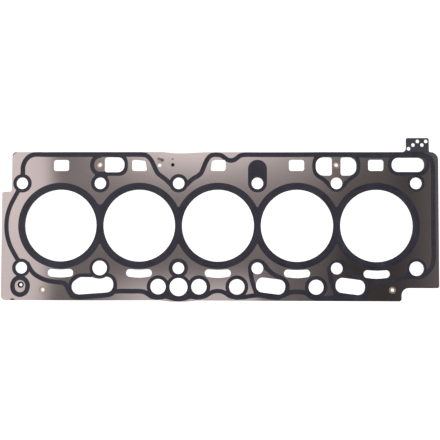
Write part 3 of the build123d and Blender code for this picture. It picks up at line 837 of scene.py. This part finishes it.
def recess_shade_black(name):
    """Near-black rubber-like finish painted in as shade in the recesses of the carrier."""
    m = Shade(name, 0.0, 0.6, 0.25)
    mottle = m.noise((1.0, 1.0, 1.0), 400.0, 2.0, 0.6)
    m.set("Base Color", m.ramp(mottle, [(0.32, (0.005, 0.0045, 0.006)), (0.68, (0.009, 0.008, 0.010))]))
    m.set("Roughness", m.span(mottle, 0.52, 0.68))
    m.bump(mottle, 0.2, 0.00004)
    return m.mat


def carrier_coat(name):
    """Matte dark coat of the carrier sheet, with a fine speckle."""
    m = Shade(name, 0.0, 0.62, 0.35)
    speckle = m.noise((1.0, 1.0, 1.0), 900.0, 2.0, 0.7)
    cloud = m.noise((1.0, 1.0, 1.0), 45.0, 2.0, 0.5)
    tone = m.ramp(m.mix(0.45, speckle, cloud), [(0.32, (0.038, 0.035, 0.050)), (0.68, (0.072, 0.068, 0.088))])
    m.set("Base Color", tone)
    m.set("Roughness", m.span(speckle, 0.52, 0.70))
    m.bump(speckle, 0.35, 0.00006)
    return m.mat


def rivet_metal(name):
    """Pale yellow metal, burnished where it was rolled over."""
    m = Shade(name, 1.0, 0.16)
    fine = m.noise((1.0, 1.0, 1.0), 700.0, 3.0, 0.6)
    m.set("Base Color", m.ramp(fine, [(0.3, (0.60, 0.48, 0.34)), (0.7, (0.70, 0.57, 0.41))]))
    m.set("Roughness", m.span(fine, 0.12, 0.22))
    m.bump(fine, 0.1, 0.00003)
    return m.mat


# faint punch marks on the upper face: x, y, radius, height
MARKS = [(-68.2, 78.2, 2.6, 0.17), (-65.0, 76.9, 1.9, 0.10), (-52.6, 77.9, 1.6, 0.04)]
# painted shade spots: darkening multiplied in round each rivet, on the punch marks and round the vent, standing in for
# dark reflections and shaded sides
SHADE_SPOTS = [(x, y, 5.2, 0.85) for x, y in RIVETS.values()] + [
    (-64.8, 75.9, 3.7, 0.80), (-68.4, 77.8, 2.6, 0.50), (-66.6, 77.2, 2.4, 0.50), (-70.0, 77.7, 1.8, 0.30),
    (-67.6, 73.6, 4.6, 0.24), (-52.6, 77.4, 2.4, 0.24), (-67.7, 70.0, 5.0, 0.22)]
steel = rolled_steel("spring_steel", (0.530, 0.455, 0.442), (0.610, 0.525, 0.510), 0.055, 0.05, MARKS,
                     list(RIVETS.values()), SHADE_SPOTS)
shim = rolled_steel("stopper_steel", (0.50, 0.49, 0.48), (0.60, 0.59, 0.58), 0.24, 0.12)
film = sealing_film("sealing_film")
coat = carrier_coat("carrier_coat")
recess_shade = recess_shade_black("recess_shade_black")
rivet = rivet_metal("rivet_metal")

# ---------------------------------------------------------------------------
# The sheets
# ---------------------------------------------------------------------------
bead_values = bead_field(GRID_POINTS)
film_values = film_field(GRID_POINTS)
lines = []
for level in (0.0, 0.5, 1.0):
    lines += [thin_out(c, 0.035) for c in contours(bead_values, level) if len(c) > 3]
film_lines = [thin_out(c, 0.03) for c in contours(film_values, 0.0) if len(c) > 5]
print("lines", len(lines), sum(len(c) for c in lines), "film", len(film_lines), sum(len(c) for c in film_lines))

bead_edge = outline(CORNER_OUTER, False)
# half-round notch in the lower edge of the bead layers
nx, ny, nr = EDGE_NOTCH
edge_y = OUTLINE[0][1]
half = math.acos((edge_y - ny) / nr)
span = [(nx + nr * math.sin(a), ny + nr * math.cos(a)) for a in np.linspace(-half, half, 14)]
at = [k for k in range(len(bead_edge)) if abs(bead_edge[k][1] - edge_y) < 1e-6
      and bead_edge[k][0] < nx and bead_edge[(k + 1) % len(bead_edge)][0] > nx][0]
bead_edge = np.vstack([bead_edge[:at + 1], np.array(span), bead_edge[at + 1:]])

orifice_window = circle(*ORIFICE, ORIFICE_WINDOW_R)
upper = sheet_mesh("upper_layer", bead_edge, SHARED_HOLES + [orifice_window, circle(*SIGHT_HOLE)],
                   TOP_Z, SHEET, -1, lines + film_lines, [steel, film])
lower = sheet_mesh("lower_layer", bead_edge, SHARED_HOLES + [orifice_window],
                   SHEET, SHEET, +1, lines + film_lines, [steel, film])
# painted shade: near-black patches on the carrier's face round the orifice and under the sight hole, where it lies in
# shadow below the bead layers
orifice_shade_ring = circle(*ORIFICE, 4.1)
sight_hole_shade = circle(*SIGHT_HOLE[:2], 2.8)
spacer = sheet_mesh("carrier", outline(CORNER_SPACER, True),
                    SHARED_HOLES + [circle(*ORIFICE, ORIFICE_R)] + [circle(x, y, CODE_HOLE_R) for x, y in CODE_HOLES],
                    SPACER_Z + CARRIER, CARRIER, 0, [np.vstack([loop, loop[:1]]) for loop in (orifice_shade_ring, sight_hole_shade)], [coat, recess_shade])
for piece, node, slot in ((upper, "upper_bead_layer", "bead_steel"), (lower, "lower_bead_layer", "bead_steel"),
                          (spacer, "spacer_layer", "carrier_steel")):
    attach(piece, "root")
    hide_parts(node)

for k, (x, y) in enumerate(BORES, start=1):
    z0, z1, c = SPACER_Z + CARRIER, SPACER_Z + CARRIER + 0.10, 0.02
    ring = turned(f"stopper_ring_{k}", x, y,
                  [(41.5, z0), (42.8, z0), (42.8, z1 - c), (42.8 - c, z1), (41.5 + c, z1), (41.5, z1 - c)], shim, 240)
    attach(ring, "root")
    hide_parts(f"bore_stopper_{k}")

head = [(1.95, 0.15), (1.98, 0.08), (2.08, 0.04), (2.30, 0.03), (2.70, 0.03), (2.98, 0.045), (3.14, 0.09),
        (3.20, 0.16), (3.16, 0.22), (3.06, 0.25), (2.40, 0.25)]
profile = head + [(r, TOP_Z - z) for r, z in head[::-1]]
for node, (x, y) in RIVETS.items():
    piece = turned(node.replace("rivet", "hollow_rivet"), x, y, profile, rivet, 64)
    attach(piece, "root")
    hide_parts(node)

# ---------------------------------------------------------------------------
# Floor, light and camera
# ---------------------------------------------------------------------------
floor_mesh = bpy.data.meshes.new("floor")
floor_mesh.from_pydata([(-12, -12, 0), (12, -12, 0), (12, 12, 0), (-12, 12, 0)], [], [(0, 1, 2, 3)])
floor = bpy.data.objects.new("floor", floor_mesh)
bpy.context.scene.collection.objects.link(floor)
white = bpy.data.materials.new("floor_white")
white.use_nodes = True
bsdf = white.node_tree.nodes["Principled BSDF"]
bsdf.inputs["Base Color"].default_value = (0.93, 0.93, 0.93, 1)
bsdf.inputs["Roughness"].default_value = 1.0
bsdf.inputs["Specular IOR Level"].default_value = 0.0
bsdf.inputs["Emission Color"].default_value = (1, 1, 1, 1)
bsdf.inputs["Emission Strength"].default_value = 0.65
floor_mesh.materials.append(white)

world = bpy.data.worlds.new("studio")
bpy.context.scene.world = world
world.use_nodes = True
tree = world.node_tree
background = tree.nodes["Background"]
direction = tree.nodes.new("ShaderNodeTexCoord")
split = tree.nodes.new("ShaderNodeSeparateXYZ")
tree.links.new(direction.outputs["Generated"], split.inputs["Vector"])


def map_range(value, a, b, smooth=True):
    node = tree.nodes.new("ShaderNodeMapRange")
    if smooth:
        node.interpolation_type = "SMOOTHSTEP"
    node.inputs["From Min"].default_value = a
    node.inputs["From Max"].default_value = b
    tree.links.new(value, node.inputs["Value"])
    return node.outputs["Result"]


def math_node(operation, a, b):
    node = tree.nodes.new("ShaderNodeMath")
    node.operation = operation
    for socket, value in zip(node.inputs, (a, b)):
        if isinstance(value, float):
            socket.default_value = value
        else:
            tree.links.new(value, socket)
    return node.outputs[0]


def mix_node(factor, a, b):
    node = tree.nodes.new("ShaderNodeMix")
    node.data_type = "RGBA"
    tree.links.new(factor, node.inputs["Factor"])
    for name, value in (("A", a), ("B", b)):
        socket = [i for i in node.inputs if i.name == name and i.type == "RGBA"][0]
        if isinstance(value, tuple):
            socket.default_value = value
        else:
            tree.links.new(value, socket)
    return [o for o in node.outputs if o.type == "RGBA"][0]


# soft light panels overhead: brightness, then the directions across and along over which each fades in;
# the inner edges of the two at the left lean outwards towards the front
PANELS = [
    (0.760, "lean", [(-0.221, -0.2465)], []),
    (0.150, "lean", [(-0.230, -0.285)], []),
    (0.077, "X", [(-0.400, -0.085), (0.147, 0.098)], []),
    (0.109, "X", [(-0.250, -0.243), (0.140, 0.020)], []),
    (0.073, "X", [(-0.309, -0.293), (0.218, 0.183)], [(0.000, 0.040)]),
    (1.530, "X", [(-0.222, -0.046), (0.221, -0.130)], [(0.060, 0.177)]),
    (0.540, "X", [(-0.197, -0.108), (0.037, 0.017)], [(-0.016, -0.056), (-0.130, -0.090)]),
    (0.357, "X", [(0.182, 0.366)], []),
]
front = math_node("MINIMUM", split.outputs["Y"], 0.0)
axes = {"X": split.outputs["X"], "Y": split.outputs["Y"],
        "lean": math_node("SUBTRACT", split.outputs["X"], math_node("MULTIPLY", front, 0.11))}
light = 0.063
for amount, sideways, across, along in PANELS:
    panel = amount
    for axis, edges in ((sideways, across), ("Y", along)):
        for a, b in edges:
            panel = math_node("MULTIPLY", panel, map_range(axes[axis], a, b))
    light = math_node("ADD", light, panel)
light = math_node("MINIMUM", light, 1.1)
overhead = tree.nodes.new("ShaderNodeCombineColor")
for channel, tint in (("Red", 1.015), ("Green", 0.995), ("Blue", 1.003)):
    tree.links.new(math_node("MULTIPLY", light, tint), overhead.inputs[channel])
overhead = overhead.outputs["Color"]
sky = mix_node(map_range(split.outputs["Z"], 0.93, 0.86), overhead, (0.86, 0.86, 0.88, 1))
tree.links.new(sky, background.inputs["Color"])
background.inputs["Strength"].default_value = 1.0

scene = bpy.context.scene
scene.view_settings.view_transform = "Standard"
scene.view_settings.look = "None"
scene.view_settings.exposure = 0.0
scene.view_settings.gamma = 1.0

lens = bpy.data.cameras.new("camera")
lens.sensor_width = 36.0
lens.lens = 63.812
lens.clip_start = 0.05
lens.clip_end = 20.0
camera = bpy.data.objects.new("camera", lens)
camera.location = (0.02238919, -0.03026253, 0.9)
camera.rotation_euler = Euler((0.04101, 0.02216, 0.00213), "XYZ")
scene.collection.objects.link(camera)
scene.camera = camera
